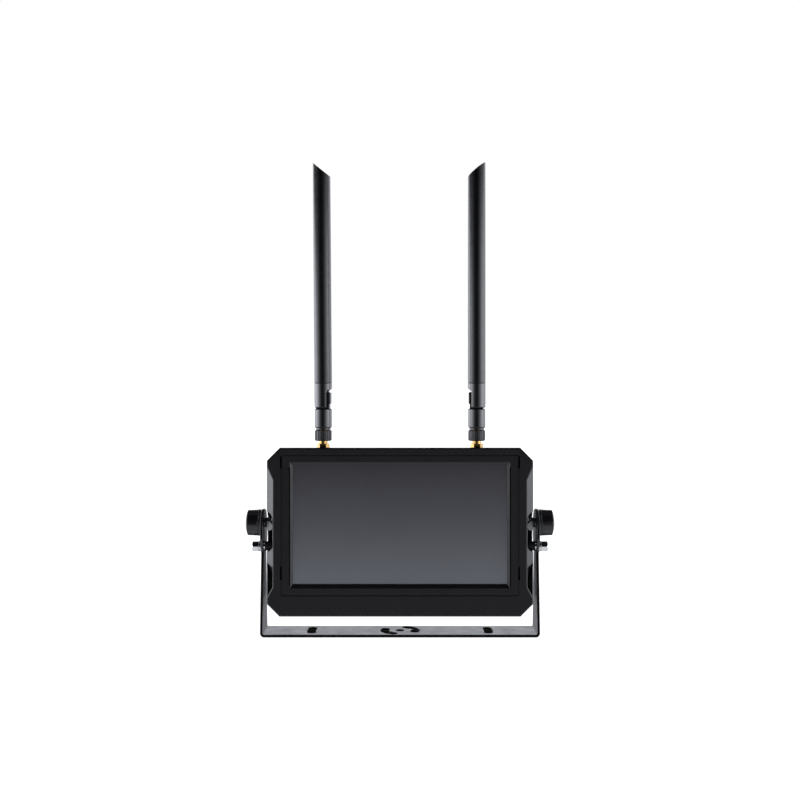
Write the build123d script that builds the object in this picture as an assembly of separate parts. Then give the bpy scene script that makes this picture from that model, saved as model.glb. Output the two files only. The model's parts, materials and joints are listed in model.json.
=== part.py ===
from build123d import *
import math
import os

# 7-inch wireless rear-view monitor with two folding whip antennas, held in a
# bent steel U-bracket by two side knobs and two lock bolts.
# Frame: millimetres, +Z up, +X to the viewer's right, the screen faces -Y.
# Origin: centre of the bracket's middle screw hole, on the underside of the base.

GAP = 0.05               # hairline gap left between neighbouring pieces

# ------------------------------------------------------------------ bracket
STRAP_T = 2.0            # steel strap thickness
BRACKET_X = 100.3        # outer half width over the arms
BRACKET_Y = 15.0         # half depth of the base strap
BEND_R = 3.0             # outside bend radius
EDGE_Z = 1.0             # level where the full-depth outline starts
ARM_Z = 5.0              # level where the arms start to taper
NECK_Y = 8.0             # half depth of the arm just under the ear
NECK_Z = 57.0
NECK_TOP_Z = 68.0
EAR_R = 15.6             # round ear
EAR_Z = 75.0
BASE_HOLE_D = 6.0
RING_R = 11.2            # centre radius of the two concentric slots in the base
RING_W = 6.3
RING_SPAN = 116          # overall degrees of each concentric slot
SIDE_SLOT_R = 64.3       # centre radius of the two outer arc slots
SIDE_SLOT_W = 6.4
SIDE_SLOT_HALF = 10.0    # half of their overall length
EAR_IN_X = BRACKET_X - STRAP_T

# ------------------------------------------------------------------ tilt pivot and lock bolt
PIVOT_Z = 80.5           # height of the knob axis
LOCK_R = 17.1            # lock bolt distance from the pivot
TILT_MAX = 22.0          # degrees each way
TILT_SPARE = 0.1         # extra degrees at each end of the slot
LOCK_SLOT_W = 4.5
LOCK_Z = PIVOT_Z - LOCK_R

# ------------------------------------------------------------------ side recess in the housing
REC_Z0, REC_Z1 = 59.9, 89.0
REC_Y0, REC_Y1 = -10.6, 2.4
REC_X = 91.0             # recess floor
LUG_Z, LUG_H = 78.8, 6.7 # rounded lug inside the recess, flush with the side facet
LUG_Y = REC_Y0 + 0.15 + LUG_H / 2    # centre of the lug's round end
COLLAR_R = 5.2           # round opening about the pivot
INSERT_X = 83.3          # inner end of the inserts
PIVOT_INSERT_R, LOCK_INSERT_R = 4.0, 2.8
INSERT_FIT = 0.06        # radial room round the inserts

# ------------------------------------------------------------------ monitor body
MON_X = 95.4             # half width of the front bezel at its corners
WAIST_X = 91.4           # half width along the waist
WAIST_Z0 = 36.1          # lower and upper ends of the waist
WAIST_Z1 = 112.7
SIDE_X = 96.5            # half width of the rear shell where the side facets end
MID_X = 96.8             # half width of the rear shell where its back taper starts
TOP_Z, BOT_Z = 135.8, 14.8           # front edges; the rear shell falls away behind them
SIDE_TOP_Z, SIDE_BOT_Z = 135.0, 15.4 # where the side facets end
MID_TOP_Z, MID_BOT_Z = 133.4, 16.5   # where the back taper starts
SOCKET_Z = 134.0         # flat spot under each antenna socket nut
ROOF_Z = 131.2           # inner face of the top wall
FLOOR_Z = 18.6           # inner face of the bottom wall
CH_TOP, CH_BOT = 9.15, 9.0           # legs of the 45 degree corner chamfers
CH_TOP_X, CH_TOP_Z = MON_X - CH_TOP, TOP_Z - CH_TOP
CH_BOT_X, CH_BOT_Z = MON_X - CH_BOT, BOT_Z + CH_BOT
FRONT_Y = -15.0
SEAM_Y = -11.0           # bezel meets rear housing
FACET_Y = -5.0           # where the side facets reach full width
TAPER_Y = 10.5
BACK_Y = 14.0
WALL = 2.5
BACK_IN_Y = BACK_Y - WALL

# ------------------------------------------------------------------ screen
SEAM_X, SEAM_Z0, SEAM_Z1 = 85.2, 29.7, 130.5     # seam between frame and bezel
OPEN_X, OPEN_Z0, OPEN_Z1 = 79.0, 35.2, 125.6     # front of the sloped well
VIEW_X, VIEW_Z0, VIEW_Z1 = 76.8, 38.0, 123.2     # viewing opening
SCREEN_Z = 80.4
LCD_X, LCD_Z0, LCD_Z1 = 81.45, 32.35, 128.45
SHADE_SLOTS_Z = ((121.1, 129.9), (41.4, 50.7))   # sun-shade slots, on each side seam
LED_COUNT, LED_PITCH = 18, 8.4

# ------------------------------------------------------------------ boards, buttons, openings
# screw places are (x, z)
SCREWS = [(-86.0, 123.5), (86.0, 123.5), (-86.0, 26.5), (86.0, 26.5), (-35.0, 23.0), (35.0, 23.0)]
PCB_SCREWS = [(-58.0, 42.0), (-58.0, 108.0), (18.0, 42.0), (18.0, 108.0)]
RF_SCREWS = [(36.0, 88.0), (60.0, 110.0)]
PCB_Y0, PCB_Y1 = 1.0, 2.6            # faces of the main board
RF_Y1 = 2.2                          # back face of the radio board
PCB_FRONT = PCB_Y0 - GAP             # where parts seat against either board
PCB_BACK = PCB_Y1 + GAP
RF_BACK = RF_Y1 + GAP
KEY_Z0, KEY_Z1 = 125.0, 126.4        # faces of the keypad board
KEY_POSTS_X = (-37.0, 37.0)
KEY_Y = 2.0                          # line of the buttons and keypad posts
BUTTONS = ("power", "menu", "down", "up", "source")
BUTTONS_X = [13.0 * i for i in range(-2, 3)]
VENT_COUNT, VENT_PITCH, VENT_X0 = 14, 6.0, -59.0
SPEAKER_X, SPEAKER_Z = 55.0, 60.0
GRILLE_R, GRILLE_DX, GRILLE_DZ = 12.0, 4.4, 3.8
POWER_X, POWER_Z = -58.0, 27.5
COAX_PLUGS_X = (42.0, 52.0)
COAX_Y = -0.95                       # pigtail line in front of the radio board

# ------------------------------------------------------------------ knobs and bolts
KNOB_X0, KNOB_X1 = 100.6, 112.3
KNOB_R0, KNOB_R1 = 9.5, 9.15
KNOB_DOME = 1.65         # rise of the knob's end face
KNOB_TEETH = 60
STUD_R = 2.5
STUD_HEX = 8.0           # across flats
STUD_HEX_X0, STUD_HEX_X1 = 104.0, 107.0
STUD_END_X = 108.0
BOLT_R = 2.0
BOLT_HEAD_X0, BOLT_HEAD_X1 = 102.85, 107.4

# ------------------------------------------------------------------ antennas
ANT_X = 55.9
TOE = 9.0                # the fold planes are turned this far so the folded whips pass
HINGE_Z = 171.1
ANT_R = 6.4
NUT_Z0, NUT_Z1 = 140.1, 147.9
HOUSE_Z0, HOUSE_Z1 = 164.2, 182.2
TIP_HI, TIP_LO = 342.8, 332.3
LEAN_LEFT = 0.45         # the left whip leans out by this many degrees in its friction hinge
TONGUE_Y = 2.4           # half thickness of the hinge tongue
CHEEK_Y = 2.55           # half width of the gap between the hinge cheeks


# =================================================================== helpers
def single(shape):
    """The one solid of a result, or its largest."""
    solids = shape.solids()
    return solids[0] if len(solids) == 1 else max(solids, key=lambda solid: solid.volume)


def save(shape, name):
    export_step(single(shape), f"parts/{name}.step")


def save_group(shapes, name):
    export_step(Compound([single(shape) for shape in shapes]), f"parts/{name}.step")


def box(x0, x1, y0, y1, z0, z1):
    centre = Pos((x0 + x1) / 2, (y0 + y1) / 2, (z0 + z1) / 2)
    return centre * Box(x1 - x0, y1 - y0, z1 - z0)


def cyl_x(r, x0, x1, y=0.0, z=0.0):
    return Pos((x0 + x1) / 2, y, z) * Rot(0, 90, 0) * Cylinder(r, abs(x1 - x0))


def cyl_y(r, y0, y1, x=0.0, z=0.0):
    return Pos(x, (y0 + y1) / 2, z) * Rot(90, 0, 0) * Cylinder(r, abs(y1 - y0))


def cyl_z(r, z0, z1, x=0.0, y=0.0):
    return Pos(x, y, (z0 + z1) / 2) * Cylinder(r, abs(z1 - z0))


def ring_x(outer_r, inner_r, x0, x1, z):
    return cyl_x(outer_r, x0, x1, 0, z) - cyl_x(inner_r, x0 - 1, x1 + 1, 0, z)


def plane_y(y):
    """Sketch plane facing -Y: local x is X, local y is Z."""
    return Plane(origin=(0, y, 0), x_dir=(1, 0, 0), z_dir=(0, -1, 0))


def plane_x(x):
    """Sketch plane facing +X: local x is Y, local y is Z."""
    return Plane(origin=(x, 0, 0), x_dir=(0, 1, 0), z_dir=(1, 0, 0))


def poly(points):
    return make_face(Polyline(*points, close=True))


def prism_x(face, x0, x1):
    return extrude(plane_x(x0) * face, amount=x1 - x0, dir=(1, 0, 0))


def prism_y(face, y0, y1):
    return extrude(plane_y(y1) * face, amount=y1 - y0, dir=(0, -1, 0))


def prism_z(face, z0, z1):
    return extrude(Plane.XY.offset(z0) * face, amount=z1 - z0, dir=(0, 0, 1))


def rev_x(points, z):
    """Solid of revolution about a line along X from (x, r) points."""
    return Pos(0, 0, z) * revolve(Plane.XZ * poly(points), axis=Axis.X, revolution_arc=360)


def rev_y(points, x, z):
    """Solid of revolution about a line along Y from (y, r) points."""
    return Pos(x, 0, z) * revolve(plane_x(0) * poly(points), axis=Axis.Y, revolution_arc=360)


def rev_z(points, x=0.0):
    """Solid of revolution about a line along Z from (r, z) points."""
    return Pos(x, 0, 0) * revolve(Plane.XZ * poly(points), axis=Axis.Z, revolution_arc=360)


def hexagon(across_flats):
    return RegularPolygon(radius=across_flats / 2, side_count=6, major_radius=False)


def toothed(count, steps, y=0.0):
    """Toothed outline; steps are (share of the tooth pitch, radius)."""
    points = []
    for i in range(count):
        for share, r in steps:
            angle = 2 * math.pi * (i + share) / count
            points.append((r * math.cos(angle), y + r * math.sin(angle)))
    return poly(points)


def rounded_rect(width, height, r, x=0.0, y=0.0):
    return Pos(x, y) * RectangleRounded(width, height, r)


def rect_between(half_x, z0, z1):
    return Pos(0, (z0 + z1) / 2) * Rectangle(2 * half_x, z1 - z0)


def screen_rect(width, height):
    return Pos(0, SCREEN_Z) * Rectangle(width, height)


def shrink(face, distance):
    return offset(face, amount=-distance, kind=Kind.INTERSECTION)


def mirror_x(shape):
    return mirror(shape, about=Plane.YZ)


def both_sides(*right_parts):
    """Left copies followed by the given right parts."""
    right = [single(part) for part in right_parts]
    return [mirror_x(part) for part in right] + right


# =================================================================== bracket
def strap_side():
    """Outline of the arms and ears seen along X."""
    right = [(BRACKET_Y + 1, -1), (BRACKET_Y + 1, EDGE_Z), (BRACKET_Y, EDGE_Z),
             (BRACKET_Y, ARM_Z), (NECK_Y, NECK_Z), (NECK_Y, NECK_TOP_Z)]
    side = poly(right + [(-y, z) for y, z in reversed(right)])
    side = side + Pos(0, EAR_Z) * Circle(EAR_R)
    side = fillet([v for v in side.vertices() if 58 < v.Y < 66], 3.5)
    taper_ends = [v for v in side.vertices()
                  if abs(v.Y - ARM_Z) < 0.2 or abs(v.Y - NECK_Z) < 0.2]
    return fillet(taper_ends, 12.0)


def u_bracket():
    outer = box(-BRACKET_X, BRACKET_X, -BRACKET_Y, BRACKET_Y, 0, 95)
    outer = fillet(outer.edges().filter_by(Axis.Y).group_by(Axis.Z)[0], BEND_R)
    inner = box(-EAR_IN_X, EAR_IN_X, -BRACKET_Y - 1, BRACKET_Y + 1, STRAP_T, 97)
    inner = fillet(inner.edges().filter_by(Axis.Y).group_by(Axis.Z)[0], BEND_R - STRAP_T)
    strap = outer - inner
    strap = strap & prism_x(strap_side(), -BRACKET_X - 1, BRACKET_X + 1)
    # screw hole and arc slots in the base
    strap -= cyl_z(BASE_HOLE_D / 2, -1, 4)
    cap = math.degrees(RING_W / 2 / RING_R)      # angle taken by a slot's round end
    for start in (-36, 144):
        arc = CenterArc((0, 0), RING_R, start + cap, RING_SPAN - 2 * cap)
        strap -= prism_z(SlotArc(arc, RING_W), -1, 4)
    half = math.degrees((SIDE_SLOT_HALF - SIDE_SLOT_W / 2) / SIDE_SLOT_R)
    for middle in (0, 180):
        arc = CenterArc((0, 0), SIDE_SLOT_R, middle - half, 2 * half)
        strap -= prism_z(SlotArc(arc, SIDE_SLOT_W), -1, 4)
    # pivot hole and lock-bolt arc slot in both ears
    strap -= cyl_x(2.7, -105, 105, 0, PIVOT_Z)
    tilt = TILT_MAX + TILT_SPARE
    arc = CenterArc((0, PIVOT_Z), LOCK_R, 270 - tilt, 2 * tilt)
    return strap - prism_x(SlotArc(arc, LOCK_SLOT_W), -105, 105)


# =================================================================== monitor outlines
def symmetric(points):
    """Face from the right half of an (x, z) outline."""
    return poly(points + [(-x, z) for x, z in reversed(points)])


octagon = symmetric([(CH_TOP_X, TOP_Z), (MON_X, CH_TOP_Z), (MON_X, CH_BOT_Z), (CH_BOT_X, BOT_Z)])
waisted = symmetric([(CH_TOP_X, TOP_Z), (MON_X, CH_TOP_Z), (MON_X, 122.0), (WAIST_X, WAIST_Z1),
                     (WAIST_X, WAIST_Z0), (MON_X, 28.2), (MON_X, CH_BOT_Z), (CH_BOT_X, BOT_Z)])


def section(x, top, bottom, inset):
    """Eight-sided shell section whose corner chamfers stay in line, less the inset."""
    top_sum = CH_TOP_X + TOP_Z - inset
    bottom_diff = CH_BOT_X - BOT_Z - inset
    return symmetric([(top_sum - top, top), (x, top_sum - x),
                      (x, x - bottom_diff), (bottom_diff + bottom, bottom)])


# =================================================================== front bezel and screen
def shade_slots():
    """Four sun-shade slots across the screen-frame seam."""
    return [box(x - 0.75, x + 0.75, FRONT_Y - 1, -13.2, z0, z1)
            for x in (-SEAM_X, SEAM_X) for z0, z1 in SHADE_SLOTS_Z]


def front_bezel():
    bezel = prism_y(waisted, FRONT_Y, SEAM_Y)
    bezel = fillet(bezel.edges().group_by(Axis.Y)[0], 1.2)
    bezel = bezel - prism_y(rect_between(SEAM_X, SEAM_Z0, SEAM_Z1), FRONT_Y - 1, -13.0)
    bezel = bezel - prism_y(screen_rect(161.0, 91.8), -13.5, SEAM_Y + 1)
    bezel = bezel - prism_y(shrink(waisted, WALL), -11.5, SEAM_Y + 1)
    # locating tongue that enters the rear housing
    tongue = prism_y(shrink(waisted, WALL + 0.1), -11.5, -8.5)
    bezel = bezel + (tongue - prism_y(shrink(waisted, WALL + 1.4), -12, -8))
    # seal groove in the seam face
    groove = prism_y(shrink(waisted, 0.7), -11.65, SEAM_Y + 0.5)
    bezel = bezel - (groove - prism_y(shrink(waisted, 1.9), -12, SEAM_Y + 0.6))
    for slot in shade_slots():
        bezel = bezel - slot
    # screw posts
    for x, z in SCREWS:
        bezel = bezel + cyl_y(2.5, -11.6, -4.1, x, z)
    for x, z in SCREWS:
        bezel = bezel - cyl_y(1.45, SEAM_Y, -4.0, x, z)
    return bezel


def screen_frame():
    face_y = FRONT_Y + 0.05
    outline = rect_between(SEAM_X - 0.35, SEAM_Z0 + 0.45, SEAM_Z1 - 0.45)
    frame = prism_y(outline, face_y, -13.05)
    view = rect_between(VIEW_X, VIEW_Z0, VIEW_Z1)
    well = loft([plane_y(face_y) * rect_between(OPEN_X, OPEN_Z0, OPEN_Z1), plane_y(-13.25) * view])
    frame = frame - well - prism_y(view, -14, -12.5)
    # narrow upright grooves beside the well
    for x in (-79.05, 79.05):
        frame = frame - box(x - 0.35, x + 0.35, FRONT_Y - 1, -13.9, OPEN_Z0 + 1.2, OPEN_Z1 - 3.4)
    for slot in shade_slots():
        frame = frame - slot
    return frame


def lcd_block(grow, y0, y1):
    """Block of the LCD outline, grown all round."""
    return box(-LCD_X - grow, LCD_X + grow, y0, y1, LCD_Z0 - grow, LCD_Z1 + grow)


def display_gasket():
    return prism_y(screen_rect(163.6, 96.8), -11.45, -10.9) - prism_y(screen_rect(157, 88), -12, -10)


def backlight_unit():
    return lcd_block(0, -8.95, -5.9) - box(-77.6, 77.6, -8.3, -6.5, 32.0, 35.6)


def led_strip():
    leds = [box(-77, 77, -6.95, -6.65, 32.6, 35.3)]
    for i in range(LED_COUNT):
        x = (i - (LED_COUNT - 1) / 2) * LED_PITCH
        leds.append(box(x - 1.9, x + 1.9, -7.9, -7.0, 33.4, 35.3))
    return leds


def lcd_chassis():
    chassis = lcd_block(0.5, -10.6, -5.35) - lcd_block(0.1, -11, -5.8)
    return chassis - box(-40, 40, -6, -5, 60, 100)


def housing_seal():
    return prism_y(shrink(waisted, 0.8), -11.6, -11.05) - prism_y(shrink(waisted, 1.8), -12, -10.5)


# =================================================================== rear housing
def shell_blank():
    """Solid shell: the sides flare a little towards the back, top and bottom fall in."""
    side = section(SIDE_X, SIDE_TOP_Z, SIDE_BOT_Z, 0.3)
    middle = section(MID_X, MID_TOP_Z, MID_BOT_Z, 0.8)
    body = loft([plane_y(SEAM_Y + 0.02) * octagon, plane_y(FACET_Y) * side], ruled=True)
    body = body + loft([plane_y(FACET_Y) * side, plane_y(TAPER_Y) * middle], ruled=True)
    back = shrink(middle, 3.5)
    body = body + loft([plane_y(TAPER_Y) * middle, plane_y(BACK_Y) * back], ruled=True)
    return single(body)


def cut_side_facets(body):
    """Forward side facets; their lower end sweeps in to the waist corner."""
    wedge_x, region_x = 98.2, 98.4               # both outside the shell
    sweep_x = MID_X + 0.2
    slope = (SIDE_X - WAIST_X) / (FACET_Y - SEAM_Y)
    for side in (-1, 1):
        wedge = prism_z(poly([
            (side * WAIST_X, SEAM_Y - 0.5), (side * WAIST_X, SEAM_Y), (side * SIDE_X, FACET_Y),
            (side * wedge_x, FACET_Y + (wedge_x - SIDE_X) / slope),
            (side * wedge_x, SEAM_Y - 0.5)]), 20, 130)
        inner_line = Polyline((region_x, 129.0), (WAIST_X, WAIST_Z1), (WAIST_X, WAIST_Z0))
        sweep_line = Spline((WAIST_X, WAIST_Z0), (94.2, 44.6), (sweep_x, 57.0),
                            tangents=((0.25, 1), (0.03, 1)))
        outer_line = Polyline((sweep_x, 57.0), (region_x, 62), (region_x, 129.0))
        region = prism_y(make_face([inner_line, sweep_line, outer_line]), -14, -2)
        if side < 0:
            region = mirror_x(region)
        body = body - (wedge & region)
    return body


def add_bosses(body):
    """Bosses for the side inserts, the housing screws, the boards and the keypad."""
    for side in (-1, 1):
        body = body + cyl_x(5.5, side * 83.2, side * 89.5, 0, PIVOT_Z)
        body = body + cyl_x(4.6, side * 83.2, side * 89.5, 0, LOCK_Z)
    for places, r, front in ((SCREWS, 4.0, -4.0), (PCB_SCREWS, 3.0, PCB_BACK),
                             (RF_SCREWS, 3.0, RF_BACK)):
        for x, z in places:
            body = body + cyl_y(r, front, BACK_IN_Y + 0.5, x, z)
    for x in KEY_POSTS_X:
        body = body + cyl_z(2.5, KEY_Z1 + GAP, ROOF_Z + 0.5, x, KEY_Y)
    return body


def recess_outline(inset, r):
    return rounded_rect(REC_Y1 - REC_Y0 - 2 * inset, REC_Z1 - REC_Z0 - 2 * inset, r,
                        (REC_Y0 + REC_Y1) / 2, (REC_Z0 + REC_Z1) / 2)


def cut_side_recesses(body):
    """Side recesses with their lugs, and the insert holes."""
    recess = prism_x(recess_outline(0, 6.2), REC_X, 98.5)
    recess = recess + cyl_x(COLLAR_R, REC_X, 98.5, 0, PIVOT_Z) + cyl_x(3.9, REC_X, 98.5, 0, LOCK_Z)
    lug = box(90.0, 99.0, LUG_Y, -2.0, LUG_Z - LUG_H / 2, LUG_Z + LUG_H / 2)
    lug = lug + cyl_x(LUG_H / 2, 90.0, 99.0, LUG_Y, LUG_Z)
    recess = recess - (lug - cyl_x(COLLAR_R, 89.0, 100.0, 0, PIVOT_Z))
    for side in (-1, 1):
        body = body - (recess if side > 0 else mirror_x(recess))
        for r, z in ((PIVOT_INSERT_R, PIVOT_Z), (LOCK_INSERT_R, LOCK_Z)):
            body = body - cyl_x(r + INSERT_FIT, side * 82.0, side * 92.0, 0, z)
    return body


def cut_screw_holes(body):
    # housing screws are counterbored from the back
    for x, z in SCREWS:
        body = body - cyl_y(1.7, -5, BACK_Y + 1, x, z) - cyl_y(3.2, 11.0, BACK_Y + 1, x, z)
    for x, z in PCB_SCREWS + RF_SCREWS:
        body = body - cyl_y(1.05, 2.0, 9.0, x, z)
    for x in KEY_POSTS_X:
        body = body - cyl_z(1.05, 126.0, 131.0, x, KEY_Y)
    return body


def cut_top_holes(body):
    # antenna sockets, each on a flat spot
    for x in (-ANT_X, ANT_X):
        body = body - cyl_z(5.5, SOCKET_Z, TOP_Z + 1, x) + cyl_z(5.5, ROOF_Z, SOCKET_Z, x)
        body = body - cyl_z(3.25, ROOF_Z - 1, TOP_Z + 1, x)
    for x in BUTTONS_X:
        body = body - prism_z(rounded_rect(8.9, 4.5, 1.6, x, KEY_Y), ROOF_Z - 1, TOP_Z + 1)
    return body


def cut_back_holes(body):
    """Cooling slots, loudspeaker holes and power socket hole."""
    y0, y1 = BACK_Y - 4, BACK_Y + 1
    for i in range(VENT_COUNT):
        place = Pos(VENT_X0 + i * VENT_PITCH, 104.0) * Rot(0, 0, 90)
        body = body - prism_y(place * SlotOverall(16.0, 2.2), y0, y1)
    for i in range(-3, 4):
        for j in range(-3, 4):
            x = i * GRILLE_DX + (GRILLE_DX / 2 if j % 2 else 0.0)
            z = j * GRILLE_DZ
            if math.hypot(x, z) < GRILLE_R:
                body = body - cyl_y(1.2, y0, y1, SPEAKER_X + x, SPEAKER_Z + z)
    return body - cyl_y(6.1, y0, y1, POWER_X, POWER_Z)


def rear_housing():
    body = cut_side_facets(shell_blank())
    # cavity
    body = body - prism_y(shrink(waisted, WALL), SEAM_Y - 1, -8.2)
    body = body - (prism_y(shrink(waisted, WALL), -8.4, BACK_IN_Y)
                   & box(-100, 100, -20, 20, FLOOR_Z, ROOF_Z))
    body = add_bosses(body)
    body = cut_side_recesses(body)
    body = cut_screw_holes(body)
    body = cut_top_holes(body)
    return cut_back_holes(body)


# =================================================================== side hardware, right side
def pivot_insert():
    collar = rev_x([(91.0, 0), (91.0, 4.9), (92.9, 4.9), (93.4, 4.55), (95.0, 4.55), (95.0, 0)],
                   PIVOT_Z)
    bush = cyl_x(PIVOT_INSERT_R, INSERT_X, REC_X, 0, PIVOT_Z) + collar
    return bush - cyl_x(2.55, 83.0, 95.5, 0, PIVOT_Z)


def side_pad():
    """Pad on the recess floor, below the lug."""
    pad = prism_x(recess_outline(0.3, 5.9), REC_X + 0.02, 91.8)
    pad = pad - cyl_x(5.3, 90, 93, 0, PIVOT_Z) - cyl_x(4.0, 90, 93, 0, LOCK_Z)
    pad = pad - box(90, 93, -4.0, 4.0, 55, LOCK_Z)
    lug_half = LUG_H / 2 + 0.15
    pad = pad - box(90, 93, REC_Y0 - 0.1, 4.0, LUG_Z - lug_half, LUG_Z + lug_half)
    return pad & box(90, 93, -20, 20, 50, LUG_Z)


def pivot_spacer():
    x0, x1 = 95.0 + GAP, EAR_IN_X - GAP
    spacer = rev_x([(x0, 0), (x0, 4.5), (96.9, 3.5), (x1, 3.5), (x1, 0)], PIVOT_Z)
    return spacer - cyl_x(2.6, 95, 99, 0, PIVOT_Z)


def lock_bolt():
    shank = cyl_x(BOLT_R, 84.0, 103.0, 0, LOCK_Z)
    head = prism_x(Pos(0, LOCK_Z) * Rot(0, 0, 30) * hexagon(7.0), BOLT_HEAD_X0, BOLT_HEAD_X1)
    cone = rev_x([(BOLT_HEAD_X0, 0), (BOLT_HEAD_X0, 4.1), (106.6, 4.1), (BOLT_HEAD_X1, 3.35),
                  (BOLT_HEAD_X1, 0)], LOCK_Z)
    return shank + (head & cone)


def lock_spring_washer():
    washer = ring_x(3.7, 2.1, 101.4, 102.8, LOCK_Z)
    return washer - box(101, 103, -0.35, 0.35, LOCK_Z, LOCK_Z + 5)


def knob():
    dome_r = (8.95 ** 2 + KNOB_DOME ** 2) / (2 * KNOB_DOME)
    dome = [(KNOB_X1 - r * r / (2 * dome_r), r) for r in range(8, 0, -1)]
    profile = [(KNOB_X0, 0), (KNOB_X0, KNOB_R0 - 0.35), (KNOB_X0 + 0.35, KNOB_R0),
               (KNOB_X0 + 2.1, KNOB_R0), (KNOB_X0 + 2.35, KNOB_R0 - 0.25),
               (KNOB_X0 + 2.6, KNOB_R0 - 0.04), (KNOB_X1 - KNOB_DOME - 0.25, KNOB_R1),
               (KNOB_X1 - KNOB_DOME, KNOB_R1 - 0.2)]
    body = rev_x(profile + dome + [(KNOB_X1, 0)], PIVOT_Z)
    # fine teeth round the inner rim
    steps = ((0.0, KNOB_R0 + 0.6), (0.45, KNOB_R0 + 0.6), (0.72, KNOB_R0 - 0.3))
    teeth = prism_x(toothed(KNOB_TEETH, steps, PIVOT_Z), KNOB_X0 - 1, KNOB_X0 + 3)
    body = body - (prism_x(Pos(0, PIVOT_Z) * Circle(14), KNOB_X0 - 0.1, KNOB_X0 + 2.2) - teeth)
    # washer seat, stud bore and hexagon pocket
    body = body - cyl_x(7.3, KNOB_X0 - 1, 101.45, 0, PIVOT_Z)
    body = body - cyl_x(STUD_R + 0.03, KNOB_X0 - 1, STUD_END_X + 0.02, 0, PIVOT_Z)
    return body - prism_x(Pos(0, PIVOT_Z) * hexagon(STUD_HEX + 0.06),
                          STUD_HEX_X0 - 0.02, STUD_HEX_X1 + 0.02)


def knob_stud():
    stud = cyl_x(STUD_R, 83.6, STUD_END_X, 0, PIVOT_Z)
    return stud + prism_x(Pos(0, PIVOT_Z) * hexagon(STUD_HEX), STUD_HEX_X0, STUD_HEX_X1)


# =================================================================== boards
def drilled(board, places):
    for x, z in places:
        board = board - cyl_y(1.2, 0, 4, x, z)
    return board


def pcb_components():
    parts = [box(-45, -20, PCB_BACK, 5.2, 64, 90)]
    # round parts behind the board: x, z, radius, height
    for x, z, r, height in ((6, 52, 4.0, 6.4), (-6, 52, 4.0, 6.4), (8, 66, 3.1, 5.0),
                            (-50, 52, 3.1, 5.0)):
        parts.append(cyl_y(r, PCB_BACK, PCB_BACK + height, x, z))
    # square parts behind the board: x, z, width, height along Z, thickness
    for x, z, width, height, thick in ((-2, 86, 12, 12, 1.6), (4, 100, 9, 6, 1.4),
                                       (-34, 50, 10, 10, 4.0), (-52, 74, 6, 8, 1.5),
                                       (-14, 101, 7, 5, 1.5)):
        parts.append(box(x - width / 2, x + width / 2, PCB_BACK, PCB_BACK + thick,
                         z - height / 2, z + height / 2))
    parts.append(box(-30, -5, -1.6, PCB_FRONT, 60, 64))      # display cable socket
    parts.append(box(-60, -48, -2.6, PCB_FRONT, 88, 94))     # power plug
    parts.append(box(6, 18, -2.6, PCB_FRONT, 74, 80))        # speaker plug
    for x in COAX_PLUGS_X:                                   # antenna plugs on the radio board
        parts.append(cyl_y(1.3, -0.05, PCB_FRONT, x, 104))
    return parts


def wireless_shield():
    return box(40, 58, RF_BACK, 5.2, 90, 106) - box(40.3, 57.7, 2.0, 4.9, 90.3, 105.7)


def keypad_pcb():
    board = box(-42, 42, -3.6, 8.2, KEY_Z0, KEY_Z1)
    for x in KEY_POSTS_X:
        board = board - cyl_z(1.2, 124, 128, x, KEY_Y)
    return board


def tact_switches():
    return [box(x - 3, x + 3, KEY_Y - 3, KEY_Y + 3, KEY_Z1 + GAP, 129.1)
            - cyl_z(1.7, 127.2, 130, x, KEY_Y) for x in BUTTONS_X]


def pcb_screws():
    screws = [cyl_y(2.0, -0.35, PCB_FRONT, x, z) + cyl_y(1.0, 0.9, 8.4, x, z)
              for x, z in PCB_SCREWS + RF_SCREWS]
    return screws + [cyl_z(2.0, 123.65, KEY_Z0 - GAP, x, KEY_Y)
                     + cyl_z(1.0, 124.9, 130.6, x, KEY_Y) for x in KEY_POSTS_X]


def display_ffc():
    """Flat display cable from the display frame to the main board, along a (y, z) path."""
    path = Spline((-5.0, 44.0), (-5.0, 51.0), (-4.2, 54.0), (-1.6, 56.4), (-0.7, 58.4),
                  (-0.7, 59.9), tangents=((0, 1), (0, 1)))
    steps, half_t = 24, 0.12
    front, back = [], []
    for i in range(steps + 1):
        p = path @ (i / steps)
        t = path % (i / steps)
        front.append((p.X - t.Y * half_t, p.Y + t.X * half_t))
        back.append((p.X + t.Y * half_t, p.Y - t.X * half_t))
    return prism_x(poly(front + back[::-1]), -28.0, -7.0)


def speaker_frame():
    return rev_y([(11.4, 13.0), (11.4, 15.0), (9.9, 15.0), (9.9, 14.0), (7.4, 9.0), (5.0, 9.0),
                  (5.0, 0), (6.6, 0), (6.6, 8.2), (7.8, 8.2), (9.4, 13.0)], SPEAKER_X, SPEAKER_Z)


def speaker_cone():
    return rev_y([(10.9, 12.7), (10.6, 12.7), (10.3, 11.2), (8.4, 4.2), (9.6, 0), (9.9, 0),
                  (8.8, 4.2), (10.6, 11.2)], SPEAKER_X, SPEAKER_Z)


def power_socket():
    socket = cyl_y(6.0, 3.0, 13.6, POWER_X, POWER_Z) + cyl_y(7.5, 9.6, 11.45, POWER_X, POWER_Z)
    socket = socket - cyl_y(4.9, 7.0, 14, POWER_X, POWER_Z)
    for i in range(4):
        a = math.radians(45 + 90 * i)
        socket = socket + cyl_y(0.55, 6.5, 12.6, POWER_X + 2.4 * math.cos(a),
                                POWER_Z + 2.4 * math.sin(a))
    return socket


def housing_screw(x, z):
    screw = cyl_y(2.8, 11.05, 13.2, x, z) + cyl_y(1.4, -9.0, 11.1, x, z)
    for half_x, half_z in ((1.8, 0.35), (0.35, 1.8)):        # cross recess
        screw = screw - box(x - half_x, x + half_x, 12.2, 14, z - half_z, z + half_z)
    return screw


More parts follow.
